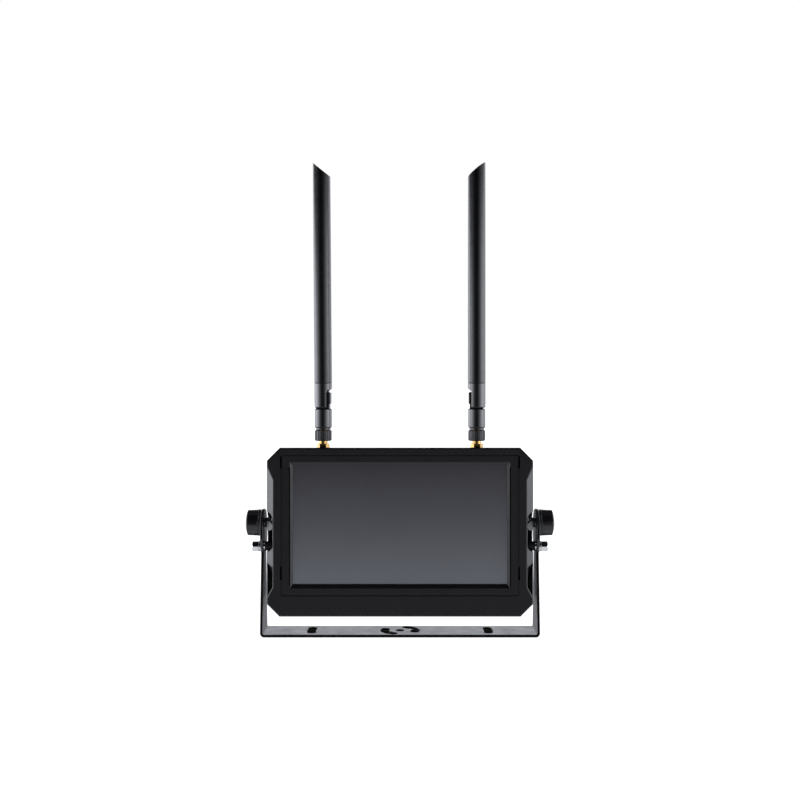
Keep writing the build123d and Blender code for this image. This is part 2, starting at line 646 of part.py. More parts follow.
def button(x):
    cap = prism_z(rounded_rect(8.6, 4.2, 1.45, x, KEY_Y), 130.9, 133.75)
    cap = fillet(cap.edges().group_by(Axis.Z)[-1], 0.4)
    flange = prism_z(rounded_rect(10.6, 6.2, 1.6, x, KEY_Y), 130.05, 131.05)
    return cap + flange + cyl_z(1.55, 128.4, 130.1, x, KEY_Y)


# =================================================================== antenna sockets on the top
def sma_jack(x):
    jack = cyl_z(3.15, 131.0, 144.4, x) + prism_z(Pos(x, 0) * hexagon(8.0), 128.7, 131.1)
    jack = jack + cyl_z(2.6, 124.0, 128.8, x) + cyl_z(1.5, 121.0, 124.1, x)
    return jack - cyl_z(2.3, 141.9, 145, x) - cyl_z(0.65, 138.5, 145, x)


def sma_nut(x):
    nut = prism_z(Pos(x, 0) * hexagon(8.0), SOCKET_Z + 0.65, 138.0)
    nut = nut & rev_z([(0, 134.6), (4.35, 134.6), (4.62, 134.9), (4.62, 137.6), (4.2, 138.0),
                       (0, 138.0)], x)
    return nut - cyl_z(3.18, 134, 139, x)


def sma_lock_washer(x):
    washer = cyl_z(4.7, SOCKET_Z + 0.02, SOCKET_Z + 0.6, x) - cyl_z(3.25, 133, 136, x)
    for i in range(10):
        a = math.radians(36 * i)
        washer = washer - cyl_z(0.55, 133, 136, x + 4.85 * math.cos(a), 4.85 * math.sin(a))
    return washer


def pigtail(points):
    line = FilletPolyline(*points, radius=2.2)
    first, second = points[:2]
    start = Plane(origin=first, z_dir=tuple(b - a for a, b in zip(first, second)))
    return sweep(start * Circle(0.75), path=line)


def coax_pigtails():
    left_x, right_x = COAX_PLUGS_X
    right = pigtail([(ANT_X, 0, 120.95), (ANT_X, 0, 116.5), (right_x, COAX_Y, 112.0),
                     (right_x, COAX_Y, 103.0)])
    left = pigtail([(-ANT_X, 0, 120.95), (-ANT_X, 0, 117.5), (38.0, 0, 117.5),
                    (left_x, COAX_Y, 112.0), (left_x, COAX_Y, 103.0)])
    return [left, right]


# =================================================================== antennas
# Each is built at X=0 with the fold towards +X, then placed.
def antenna_nut():
    """Knurled clamp nut."""
    steps = ((0.0, 6.2), (0.32, 6.2), (0.5, 5.85), (0.82, 5.85))
    nut = prism_z(toothed(24, steps), NUT_Z0, NUT_Z1)
    nut = nut & rev_z([(0, NUT_Z0), (5.5, NUT_Z0), (6.2, NUT_Z0 + 0.7), (6.2, NUT_Z1 - 0.6),
                       (5.6, NUT_Z1), (0, NUT_Z1)])
    nut = nut - cyl_z(3.22, NUT_Z0 - 1, 145.0) - cyl_z(4.5, 144.95, 146.7)
    return nut - cyl_z(3.1, 146, NUT_Z1 + 1)


def antenna_connector():
    """Flange captive in the nut, barrel up into the sleeve, centre pin down into the socket."""
    flange_barrel = cyl_z(4.4, 145.05, 146.6) + cyl_z(3.0, 146.5, 157.9)
    return flange_barrel + cyl_z(2.2, 144.5, 145.1) + cyl_z(0.45, 139.6, 144.6)


def antenna_sleeve():
    """Swivel sleeve with the hinge tongue on top."""
    sleeve = rev_z([(0, 148.05), (5.0, 148.05), (5.4, 148.3), (5.4, 149.6), (5.9, 149.6),
                    (6.3, 150.1), (6.3, 162.9), (5.7, 163.5), (0, 163.5)])
    tongue = cyl_y(5.5, -TONGUE_Y, TONGUE_Y, 0, HINGE_Z)
    tongue = tongue + box(-4.9, 4.9, -TONGUE_Y, TONGUE_Y, 163.0, HINGE_Z)
    # chamfered block on the fold side: x, height about the hinge
    block = [(0, -4.4), (4.9, -4.4), (5.6, -3.7), (5.6, 3.8), (4.9, 4.5), (0, 4.5)]
    tongue = tongue + prism_y(poly([(x, HINGE_Z + dz) for x, dz in block]), -TONGUE_Y, TONGUE_Y)
    tongue = tongue & box(-5.5, 5.6, -3, 3, 160, HINGE_Z + 4.6)
    sleeve = sleeve + tongue
    return sleeve - cyl_z(3.05, 147, 158.0) - cyl_y(1.3, -7, 7, 0, HINGE_Z)


def antenna_hinge_pin():
    return cyl_y(1.25, -5.5, 5.5, 0, HINGE_Z)


def antenna_hinge_housing():
    """Two cheeks round the tongue, open on the fold side."""
    house = rev_z([(0, HOUSE_Z0), (5.9, HOUSE_Z0), (ANT_R, HOUSE_Z0 + 0.5),
                   (ANT_R, HOUSE_Z1 - 0.25), (ANT_R - 0.25, HOUSE_Z1), (4.5, HOUSE_Z1),
                   (4.5, HOUSE_Z1 + 6.0), (0, HOUSE_Z1 + 6.0)])
    house = house - prism_y(poly([(3.3, 163.0), (7.5, 163.0), (7.5, 179.2), (3.3, 176.2)]), -8, 8)
    gap = cyl_y(5.8, -CHEEK_Y, CHEEK_Y, 0, HINGE_Z)
    gap = gap + (cyl_y(7.3, -CHEEK_Y, CHEEK_Y, 0, HINGE_Z) & box(-4.9, 8, -3, 3, HINGE_Z, 180))
    gap = gap + box(-5.1, 8, -CHEEK_Y, CHEEK_Y, 162, HINGE_Z)
    gap = gap + box(0, 8, -CHEEK_Y, CHEEK_Y, HINGE_Z - 1, HINGE_Z + 5.2)
    house = house - gap
    # the cheek ends are rounded about the pin so that they clear the sleeve as the whip folds
    corner = prism_y(poly([(0, 163.0), (8, 163.0), (8, HINGE_Z), (0, HINGE_Z)]), -8, 8)
    house = house - (corner - cyl_y(7.25, -8.5, 8.5, 0, HINGE_Z))
    return house - cyl_y(1.3, -5.55, 5.55, 0, HINGE_Z) - cyl_z(2.0, 178.0, 190.0)


def antenna_radome():
    """Hollow whip tube closed by a slanted end, lower on the fold side."""
    base = HOUSE_Z1 + GAP
    overrun = (8 - ANT_R) * (TIP_HI - TIP_LO) / (2 * ANT_R)
    envelope = poly([(-8, base), (8, base), (8, TIP_LO - overrun), (-8, TIP_HI + overrun)])
    tube = cyl_z(ANT_R, base, 350)
    tube = tube & prism_y(envelope, -8, 8)
    return tube - cyl_z(4.55, HOUSE_Z1 - 1, 326.0)


def antenna_element():
    return cyl_z(0.9, 189.0, 318.0) + cyl_z(2.9, 200.0, 252.0)


def save_antennas():
    fixed = (antenna_nut, antenna_connector, antenna_sleeve, antenna_hinge_pin)
    folding = (antenna_hinge_housing, antenna_radome, antenna_element)
    solids = {build: single(build()) for build in fixed + folding}
    for tag, x, turn, tilt in (("left", -ANT_X, -TOE, -LEAN_LEFT), ("right", ANT_X, 180 - TOE, 0.0)):
        place = Pos(x, 0, 0) * Rot(0, 0, turn)
        lean = Pos(0, 0, HINGE_Z) * Rot(0, tilt, 0) * Pos(0, 0, -HINGE_Z)
        for build, solid in solids.items():
            where = place * lean if build in folding else place
            save(where * solid, f"{build.__name__}_{tag}")


# =================================================================== output
os.makedirs("parts", exist_ok=True)

for build in (u_bracket, front_bezel, screen_frame, display_gasket, backlight_unit, lcd_chassis,
              housing_seal, rear_housing, wireless_shield, keypad_pcb, display_ffc,
              speaker_frame, speaker_cone, power_socket):
    save(build(), build.__name__)
save(prism_y(screen_rect(160.6, 91.4), -13.0, -11.9), "cover_lens")
save(lcd_block(0, -10.8, -9.0), "lcd_panel")
save(drilled(box(-62, 22, PCB_Y0, PCB_Y1, 38, 112), PCB_SCREWS), "main_pcb")
save(drilled(box(32, 64, PCB_Y0, RF_Y1, 84, 114), RF_SCREWS), "wireless_pcb")

for build in (led_strip, pcb_components, tact_switches, pcb_screws, coax_pigtails):
    save_group(build(), build.__name__)
for build in (sma_jack, sma_nut, sma_lock_washer):
    save_group([build(-ANT_X), build(ANT_X)], build.__name__ + "s")
save_group([housing_screw(x, z) for x, z in SCREWS], "housing_screws")

lock_insert = ring_x(LOCK_INSERT_R, 2.05, INSERT_X, REC_X, LOCK_Z)
save_group(both_sides(pivot_insert(), lock_insert), "side_inserts")
for name, part in (
        ("side_pads", side_pad()),
        ("pivot_spacers", pivot_spacer()),
        ("lock_spacers", ring_x(3.4, 2.1, REC_X + GAP, EAR_IN_X - GAP, LOCK_Z)),
        ("lock_bolts", lock_bolt()),
        ("lock_spring_washers", lock_spring_washer()),
        ("lock_flat_washers", ring_x(4.4, 2.1, BRACKET_X + GAP, 101.35, LOCK_Z))):
    save_group(both_sides(part), name)

for name, part in (("knob", knob()), ("knob_stud", knob_stud()),
                   ("knob_washer", ring_x(7.0, 2.6, BRACKET_X + 0.03, 101.35, PIVOT_Z))):
    left, right = both_sides(part)
    save(left, name + "_left")
    save(right, name + "_right")

for name, x in zip(BUTTONS, BUTTONS_X):
    save(button(x), "button_" + name)

save_antennas()
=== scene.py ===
# A small display with two antennas, held between the arms of a U-shaped bracket.
# Metres: x runs across the screen, y from the front (-y) to the back, z up from the bracket's base.
import bpy
import bmesh
import json
from math import radians, cos, sin, pi
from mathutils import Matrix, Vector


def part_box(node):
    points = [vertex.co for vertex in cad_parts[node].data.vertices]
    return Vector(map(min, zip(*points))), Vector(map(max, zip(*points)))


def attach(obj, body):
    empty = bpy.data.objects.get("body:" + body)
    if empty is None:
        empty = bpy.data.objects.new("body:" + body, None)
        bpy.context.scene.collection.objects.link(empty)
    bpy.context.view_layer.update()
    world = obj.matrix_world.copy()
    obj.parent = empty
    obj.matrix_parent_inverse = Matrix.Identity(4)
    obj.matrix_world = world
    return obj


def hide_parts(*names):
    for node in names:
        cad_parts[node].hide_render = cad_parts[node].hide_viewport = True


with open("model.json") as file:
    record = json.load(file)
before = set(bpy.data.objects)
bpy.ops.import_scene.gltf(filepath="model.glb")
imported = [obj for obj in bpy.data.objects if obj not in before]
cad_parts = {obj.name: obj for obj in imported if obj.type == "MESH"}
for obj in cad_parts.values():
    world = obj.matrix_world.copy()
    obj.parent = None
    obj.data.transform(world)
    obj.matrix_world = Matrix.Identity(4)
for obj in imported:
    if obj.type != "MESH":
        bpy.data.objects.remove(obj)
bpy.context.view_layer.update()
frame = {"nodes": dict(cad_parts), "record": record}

MM = 0.001
scene = bpy.context.scene
NODES = frame["nodes"]
BODIES = frame["record"]["behaviour"]["bodies"]
BODY = {node: body for body, nodes in BODIES.items() for node in nodes}
SLOT = {part["node"]: part["material_slot"] for part in frame["record"]["subparts"]}


def add_object(name, data):
    obj = bpy.data.objects.new(name, data)
    scene.collection.objects.link(obj)
    return obj


# ---------------------------------------------------------------- shader node builders
class Graph:
    """Adds nodes to a tree; a value may be a number, a tuple or another node's output."""

    def __init__(self, tree):
        self.tree = tree

    def put(self, socket, value):
        if isinstance(value, bpy.types.NodeSocket):
            self.tree.links.new(value, socket)
        elif socket.type == "RGBA":
            socket.default_value = (*value, 1.0)
        else:
            socket.default_value = value

    def fill(self, node, **inputs):
        """Set inputs by name, with underscores for spaces."""
        for key, value in inputs.items():
            self.put(node.inputs[key.replace("_", " ")], value)

    def node(self, kind, **inputs):
        node = self.tree.nodes.new(kind)
        self.fill(node, **inputs)
        return node

    def math(self, operation, *values):
        node = self.node("ShaderNodeMath")
        node.operation = operation
        for socket, value in zip(node.inputs, values):
            self.put(socket, value)
        return node.outputs[0]

    def add(self, first, second):
        return self.math("ADD", first, second)

    def multiply(self, first, second):
        return self.math("MULTIPLY", first, second)

    def weigh(self, *terms):
        """Sum of two (value, weight) terms."""
        return self.add(*(self.multiply(value, weight) for value, weight in terms))

    def remap(self, value, span=(0.3, 0.7), to=(0, 1), kind="LINEAR"):
        """Carry the range span over to the range to, held at its ends."""
        node = self.node("ShaderNodeMapRange", Value=value, From_Min=span[0], From_Max=span[1],
                         To_Min=to[0], To_Max=to[1])
        node.interpolation_type = kind
        return node.outputs["Result"]

    def smooth(self, value, span, to):
        return self.remap(value, span, to, kind="SMOOTHSTEP")

    def ramp(self, value, stops):
        """Colour ramp of (position, colour) stops, the first at 0 and the last at 1."""
        node = self.node("ShaderNodeValToRGB")
        self.put(node.inputs[0], value)
        elements = node.color_ramp.elements
        elements[0].color = (*stops[0][1], 1)
        elements[1].color = (*stops[-1][1], 1)
        for position, color in stops[1:-1]:
            elements.new(position).color = (*color, 1)
        return node.outputs["Color"]

    def axes(self, vector):
        return self.node("ShaderNodeSeparateXYZ", Vector=vector).outputs

    def combine(self, channels):
        node = self.node("ShaderNodeCombineColor")
        for socket, value in zip(node.inputs, channels):
            self.put(socket, value)
        return node.outputs[0]


class Mat(Graph):
    """A Principled material on object coordinates; texture sizes and depths are in mm."""

    def __init__(self, name):
        self.material = bpy.data.materials.new(name)
        self.material.use_nodes = True
        super().__init__(self.material.node_tree)
        self.shader = self.tree.nodes["Principled BSDF"]
        self.coords = self.node("ShaderNodeTexCoord").outputs["Object"]

    def set(self, **inputs):
        self.fill(self.shader, **inputs)

    def stretch(self, scale, turn=(0, 0, 0)):
        node = self.node("ShaderNodeMapping", Vector=self.coords, Scale=scale, Rotation=turn)
        return node.outputs["Vector"]

    def noise(self, size, detail=2.0, rough=0.5, vector=None):
        node = self.node("ShaderNodeTexNoise", Vector=vector or self.coords,
                         Scale=1000.0 / size, Detail=detail, Roughness=rough)
        return node.outputs["Fac"]

    def voronoi(self, size):
        node = self.node("ShaderNodeTexVoronoi", Vector=self.coords, Scale=1000.0 / size)
        return node.outputs["Distance"]

    def mix(self, factor, first, second):
        node = self.node("ShaderNodeMix")
        node.data_type = "RGBA"
        for index, value in ((0, factor), (6, first), (7, second)):
            self.put(node.inputs[index], value)
        return node.outputs[2]

    def bump(self, height, depth, strength):
        node = self.node("ShaderNodeBump", Height=height, Distance=depth * MM, Strength=strength)
        return node.outputs["Normal"]


def srgb(*channels):
    """Linear colour from 0-255 sRGB channels."""
    return tuple(c / 255 / 12.92 if c <= 10.31 else ((c / 255 + 0.055) / 1.055) ** 2.4
                 for c in channels)


# ---------------------------------------------------------------- materials
def plastic(name, base, other, rough, rough_var, grain, depth, spec=0.5, mottle=14.0):
    """Moulded plastic: slow mottle in the colour, fine grain in bump and roughness."""
    m = Mat(name)
    slow = m.noise(size=mottle, detail=3.0)
    fine = m.noise(size=grain, detail=3.0, rough=0.6)
    tone = m.weigh((slow, 0.7), (fine, 0.3))
    patches = m.noise(size=6.0, detail=4.0, rough=0.65)
    roughness = m.add(m.remap(patches, to=(-rough_var, rough_var)), rough)
    relief = m.weigh((fine, 0.7), (m.voronoi(size=grain * 1.6), 0.5))
    m.set(Base_Color=m.mix(m.remap(tone, span=(0.35, 0.65)), base, other),
          Roughness=m.add(roughness, m.remap(fine, to=(-0.03, 0.03))),
          Normal=m.bump(relief, depth=depth, strength=0.6),
          Specular_IOR_Level=spec, Coat_Weight=0.0, Coat_Roughness=0.15)
    return m.material


def powder_coat(name):
    """Black powder coat: low orange-peel relief and dust-fine flecks."""
    m = Mat(name)
    peel = m.noise(size=1.6, rough=0.45)
    fine = m.noise(size=0.22, rough=0.6)
    slow = m.noise(size=22.0, detail=3.0)
    fleck = m.remap(m.voronoi(size=0.9), span=(0.0, 0.09), to=(1.0, 0.0))
    base = m.mix(m.remap(slow), (0.0085, 0.0085, 0.0095), (0.0135, 0.0135, 0.0145))
    patches = m.remap(m.noise(size=9.0, detail=4.0, rough=0.7), to=(0.24, 0.34))
    relief = m.weigh((peel, 1.0), (fine, 0.14))
    m.set(Base_Color=m.mix(m.multiply(fleck, 0.25), base, (0.05, 0.05, 0.052)),
          Roughness=m.add(patches, m.multiply(fine, 0.05)),
          Normal=m.bump(relief, depth=0.05, strength=0.55),
          Specular_IOR_Level=0.55)
    return m.material


GRAIN_STRETCH = 14.0    # how much longer drawn grain is across its axis than along it


def metal(name, base, other, rough, grain, scratch, axis=None, stain=None):
    """Metal with even or drawn grain and, where a stain colour is given, faint tarnish."""
    m = Mat(name)
    if axis is None:
        fine = m.noise(size=grain, detail=3.0, rough=0.7)
    else:
        scale = [1.0, 1.0, 1.0]
        scale[axis] = GRAIN_STRETCH
        fine = m.noise(size=grain * GRAIN_STRETCH, detail=3.0, rough=0.7,
                       vector=m.stretch(tuple(scale)))
    slow = m.noise(size=3.0, detail=3.0, rough=0.6)
    color = m.mix(m.remap(slow, span=(0.35, 0.7)), base, other)
    if stain:
        spots = m.remap(m.noise(size=1.3, detail=4.0, rough=0.7), span=(0.52, 0.75))
        color = m.mix(m.multiply(spots, 0.5), color, stain)
    m.set(Metallic=1.0, Base_Color=color,
          Roughness=m.add(m.remap(fine, to=(-0.06, 0.08)), rough),
          Normal=m.bump(fine, depth=0.02, strength=0.35 * scratch))
    return m.material


def rubber(name):
    """Matt black rubber with a fine grain."""
    m = Mat(name)
    fine = m.noise(size=0.35, detail=3.0, rough=0.7)
    tone = m.remap(m.noise(size=5.0, detail=3.0), span=(0.35, 0.65))
    m.set(Base_Color=m.mix(tone, (0.006, 0.006, 0.006), (0.013, 0.013, 0.014)),
          Roughness=m.remap(fine, to=(0.62, 0.82)),
          Normal=m.bump(fine, depth=0.04, strength=0.6),
          Specular_IOR_Level=0.35)
    return m.material


def screen_glass(name, bottom, top):
    """Unlit display under a glossy coat, with a painted reflection that greys it towards the bottom
    edge; faintly smeared.
    """
    m = Mat(name)
    # painted reflection of the bright table below: the grey lightens towards the bottom edge
    painted_reflection = m.remap(m.axes(m.coords)["Z"], span=(top, bottom), to=(0.0, 1.0))
    grey = m.ramp(painted_reflection, [(0.0, srgb(60, 59, 64)), (0.5, srgb(88, 89, 95)),
                         (1.0, srgb(112, 115, 122))])
    mottle = m.remap(m.noise(size=30.0, detail=3.0), to=(0.98, 1.02))
    color = m.node("ShaderNodeHueSaturation", Color=grey, Value=mottle)
    smear = m.noise(size=11.0, detail=5.0, rough=0.7,
                    vector=m.stretch((1.0, 1.0, 2.2), turn=(0, 0.5, 0)))
    m.set(Base_Color=color.outputs["Color"],
          Roughness=m.remap(smear, span=(0.35, 0.75), to=(0.08, 0.16)),
          Normal=m.bump(m.noise(size=0.12, detail=1.0), depth=0.002, strength=0.05),
          Specular_IOR_Level=0.35, Coat_Weight=0.6, Coat_Roughness=0.04)
    return m.material


def board(name):
    """Solder mask with copper tracks and pads."""
    m = Mat(name)
    tracks = m.remap(m.noise(size=4.0, detail=1.0, vector=m.stretch((1.0, 1.0, 0.3))),
                     span=(0.48, 0.52))
    mask = m.mix(tracks, (0.008, 0.055, 0.022), (0.012, 0.085, 0.035))
    pads = m.remap(m.voronoi(size=3.4), span=(0.0, 0.12), to=(1, 0))
    m.set(Base_Color=m.mix(m.math("GREATER_THAN", pads, 0.35), mask, (0.75, 0.62, 0.30)),
          Roughness=m.remap(m.noise(size=1.0), to=(0.28, 0.42)),
          Normal=m.bump(tracks, depth=0.03, strength=0.4))
    return m.material


def film(name, base, other):
    """Ribbon film striped across x."""
    m = Mat(name)
    wave = m.node("ShaderNodeTexWave", Vector=m.coords, Scale=900.0, Distortion=0.0)
    wave.bands_direction = "X"
    stripes = wave.outputs["Fac"]
    m.set(Base_Color=m.mix(m.remap(stripes), base, other),
          Roughness=m.remap(m.noise(size=2.0, detail=3.0), to=(0.25, 0.38)),
          Normal=m.bump(stripes, depth=0.01, strength=0.3))
    return m.material


def paper(name):
    """Dark fibrous paper."""
    m = Mat(name)
    fibre = m.noise(size=0.5, detail=5.0, rough=0.8, vector=m.stretch((1, 1, 2.5)))
    m.set(Base_Color=m.mix(fibre, (0.01, 0.01, 0.01), (0.035, 0.034, 0.032)),
          Roughness=m.remap(fibre, to=(0.8, 0.95)),
          Normal=m.bump(fibre, depth=0.08, strength=0.7))
    return m.material


ANTENNA = dict(base=(0.0030, 0.0030, 0.0037), other=(0.0048, 0.0048, 0.0058),
               grain=0.35, mottle=25.0)

MATERIALS = {
    "bracket_powder_coat": powder_coat("powder_coat_black"),
    "housing_plastic": plastic(
        "housing_black", base=(0.0095, 0.0095, 0.0108), other=(0.0125, 0.0125, 0.014),
        rough=0.34, rough_var=0.04, grain=0.45, depth=0.012, spec=0.6),
    "bezel_plastic": plastic(
        "bezel_black", base=(0.0046, 0.0042, 0.0050), other=(0.0062, 0.0058, 0.0067),
        rough=0.40, rough_var=0.04, grain=0.32, depth=0.010, spec=0.45),
    "knob_plastic": plastic(
        "knob_black", base=(0.0055, 0.0055, 0.0062), other=(0.0085, 0.0085, 0.0095),
        rough=0.25, rough_var=0.02, grain=0.35, depth=0.004, spec=0.55),
    "antenna_plastic": plastic(
        "antenna_black", rough=0.19, rough_var=0.03, depth=0.012, spec=0.6, **ANTENNA),
    "screen_glass": screen_glass("screen_glass", bottom=36 * MM, top=124 * MM),
    "panel_black": plastic(
        "panel_black", base=(0.01, 0.01, 0.012), other=(0.014, 0.014, 0.017),
        rough=0.2, rough_var=0.03, grain=0.3, depth=0.003),
    "light_guide": plastic(
        "light_guide_white", base=(0.72, 0.73, 0.75), other=(0.80, 0.81, 0.82),
        rough=0.35, rough_var=0.04, grain=0.5, depth=0.01),
    "zinc_steel": metal(
        "zinc_plate", base=(0.74, 0.74, 0.72), other=(0.64, 0.65, 0.66),
        rough=0.15, grain=0.25, scratch=0.6, stain=(0.52, 0.50, 0.44)),
    "chassis_steel": metal(
        "sheet_steel", base=(0.58, 0.59, 0.60), other=(0.50, 0.51, 0.53),
        rough=0.34, grain=0.3, scratch=0.6, axis=0),
    "gold_brass": metal(
        "gold_plate", base=(0.52, 0.34, 0.12), other=(0.42, 0.26, 0.085),
        rough=0.10, grain=0.2, scratch=0.5, stain=(0.50, 0.30, 0.09)),
    "copper_wire": metal(
        "copper", base=(0.80, 0.42, 0.26), other=(0.70, 0.34, 0.20),
        rough=0.28, grain=0.2, scratch=0.5, axis=2),
    "pad_rubber": rubber("pad_rubber"),
    "circuit_board": board("solder_mask"),
    "chip_plastic": plastic(
        "package_black", base=(0.018, 0.018, 0.020), other=(0.030, 0.030, 0.032),
        rough=0.5, rough_var=0.05, grain=0.4, depth=0.02),
    "cable_jacket": plastic(
        "cable_black", base=(0.012, 0.012, 0.013), other=(0.020, 0.020, 0.021),
        rough=0.45, rough_var=0.05, grain=0.5, depth=0.02),
    "ribbon_film": film("ribbon_film", base=(0.30, 0.14, 0.03), other=(0.52, 0.30, 0.08)),
    "speaker_paper": paper("cone_paper"),
}

# painted shade: a near-black matt plastic laid on the insides of grooves, seams and slots and on
# other faces in shade, so they read as shadowed
PAINTED_SHADE = plastic("painted_shade_black", base=(0.0012, 0.0012, 0.0014), other=(0.0022, 0.0022, 0.0025),
                 rough=0.75, rough_var=0.05, grain=0.25, depth=0.03, spec=0.08)
GLOSS = plastic("antenna_black_gloss", rough=0.15, rough_var=0.02, depth=0.006, spec=0.95,
                **ANTENNA)

for node_name, obj in NODES.items():
    obj.data.materials.clear()
    obj.data.materials.append(MATERIALS[SLOT[node_name]])


# ---------------------------------------------------------------- mesh helpers
BEVEL_ANGLE = radians(30.0)      # edges sharper than this are rounded
MERGE_ANGLE = radians(0.4)       # faces flatter than this are merged
WELD = 2e-6


def finish_shell(bm, node, sharp=35.0, material=None):
    """Turn a bmesh into the stand-in for a CAD node, shaded smooth up to sharp degrees."""
    name = node + "_shell"
    mesh = bpy.data.meshes.new(name)
    bm.normal_update()
    for face in bm.faces:
        face.smooth = True
    for edge in bm.edges:
        edge.smooth = len(edge.link_faces) == 2 and edge.calc_face_angle(0.0) < radians(sharp)
    bm.to_mesh(mesh)
    bm.free()
    shell = add_object(name, mesh)
    mesh.materials.append(material or MATERIALS[SLOT[node]])
    normals = shell.modifiers.new("normals", "WEIGHTED_NORMAL")
    normals.keep_sharp = True
    normals.mode = "FACE_AREA"
    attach(shell, BODY[node])
    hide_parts(node)
    return shell


def round_cad(node, width, segments, edit=None, rounds=None, shade_faces=None, material=None):
    """The node's own shape, flat faces merged, edges rounded by width mm.

    edit changes the mesh first; rounds picks edges by midpoint in mm; the third picker
    chooses by centre in mm and normal the faces that get the painted shade.
    """
    bm = bmesh.new()
    bm.from_mesh(NODES[node].data)
    if edit:
        edit(bm)
    bmesh.ops.remove_doubles(bm, verts=bm.verts, dist=WELD)
    bmesh.ops.dissolve_degenerate(bm, edges=bm.edges, dist=WELD)
    bmesh.ops.dissolve_limit(bm, angle_limit=MERGE_ANGLE, use_dissolve_boundaries=False,
                             verts=bm.verts, edges=bm.edges)
    bm.normal_update()
    edges = [e for e in bm.edges
             if len(e.link_faces) == 2 and e.calc_face_angle(0.0) > BEVEL_ANGLE
             and (rounds is None or rounds((e.verts[0].co + e.verts[1].co) / 2 / MM))]
    bmesh.ops.bevel(bm, geom=edges, offset=width * MM, offset_type="OFFSET", segments=segments,
                    profile=0.5, affect="EDGES", clamp_overlap=False,
                    miter_outer="ARC", miter_inner="SHARP")
    # the picked faces get the painted shade, in a second material slot
    if shade_faces:
        bm.normal_update()
        for face in bm.faces:
            if shade_faces(face.calc_center_median() / MM, face.normal):
                face.material_index = 1
    shell = finish_shell(bm, node, material=material)
    if shade_faces:
        shell.data.materials.append(PAINTED_SHADE)
    return shell


# ---------------------------------------------------------------- special cases, places in mm
def bolt_height():
    low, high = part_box("lock_bolts")
    return (low[2] + high[2]) / 2


def turn_heads(bm):
    """Turn the hex heads 30 degrees about the bolts' axis, so a corner faces the front."""
    axis_z = bolt_height()
    for vert in bm.verts:
        y, z = vert.co.y, vert.co.z - axis_z
        vert.co.y = y * cos(pi / 6) - z * sin(pi / 6)
        vert.co.z = axis_z + y * sin(pi / 6) + z * cos(pi / 6)


HOUSING_SIDE_X = 90.5            # the housing's side features lie outside this
LOW_SIDE_TOP, LOW_SIDE_BACK = 62.0, -3.0


def off_low_sides(mid):
    """All housing edges but those low down at the front of its sides."""
    return not (abs(mid.x) > HOUSING_SIDE_X and mid.z < LOW_SIDE_TOP and mid.y < LOW_SIDE_BACK)


SEAM_FRONT, SEAM_BACK = -14.8, -12.9
SEAM_REACH = (-1.2, 1.4)         # inside and outside the screen frame's outline
SLOT_X, SLOT_HALF_WIDTH, SLOT_BACK = 79.05, 0.5, -13.8


def seam_shade(center, normal):
    """Painted shade behind the front face: the joint round the screen frame, and the upright side
    slots.
    """
    if center.y < SEAM_FRONT:
        return False
    low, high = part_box("screen_frame")
    beyond = max(abs(center.x) - high[0] / MM, low[2] / MM - center.z, center.z - high[2] / MM)
    joint = SEAM_REACH[0] < beyond < SEAM_REACH[1] and center.y < SEAM_BACK
    in_slot = abs(abs(center.x) - SLOT_X) < SLOT_HALF_WIDTH and center.y < SLOT_BACK
    return joint or (in_slot and abs(normal.z) < 0.5)


BASE_WALL_Z = (0.05, 1.95)       # between the base's lower and upper faces
BASE_HOLES_X, BASE_HOLES_Y = 75, 13.5


def cut_edge_shade(center, normal):
    """Painted shade on the strap's front edge, and on the walls of the openings through the
    bracket's base.
    """
    wall = abs(normal.z) < 0.6 and BASE_WALL_Z[0] < center.z < BASE_WALL_Z[1]
    inside = abs(center.x) < BASE_HOLES_X and abs(center.y) < BASE_HOLES_Y
    return normal.y < -0.97 or (wall and inside)


RIM_BACK = -10.9
POCKET_Y = (-10.8, 2.6)
RECESS_Z, RECESS_X = (59.8, 89.1), 96.4
STEP_TOP = 58.0


def side_pocket_shade(center, normal):
    """Painted shade on the housing's front rim, the step below each side facet, and the side
    recesses.
    """
    if center.y < RIM_BACK and normal.y < -0.9:
        return True
    if abs(center.x) < HOUSING_SIDE_X or center.y > POCKET_Y[1] or center.y < POCKET_Y[0]:
        return False
    facet = abs(abs(normal.x) - 0.65) < 0.12 and normal.y < -0.5
    recess = RECESS_Z[0] < center.z < RECESS_Z[1] and abs(center.x) < RECESS_X and not facet
    step = center.z < STEP_TOP and normal.y < -0.9
    return recess or step


# the face pickers given here choose where shade is painted
SPECIAL = {
    "u_bracket": dict(shade_faces=cut_edge_shade),
    "front_bezel": dict(shade_faces=seam_shade),
    "screen_frame": dict(shade_faces=seam_shade),
    "rear_housing": dict(rounds=off_low_sides, shade_faces=side_pocket_shade),
    "lock_bolts": dict(edit=turn_heads),
    "antenna_sleeve_left": dict(material=GLOSS),
    "antenna_sleeve_right": dict(material=GLOSS),
    "antenna_hinge_housing_left": dict(material=GLOSS),
    "antenna_hinge_housing_right": dict(material=GLOSS),
}

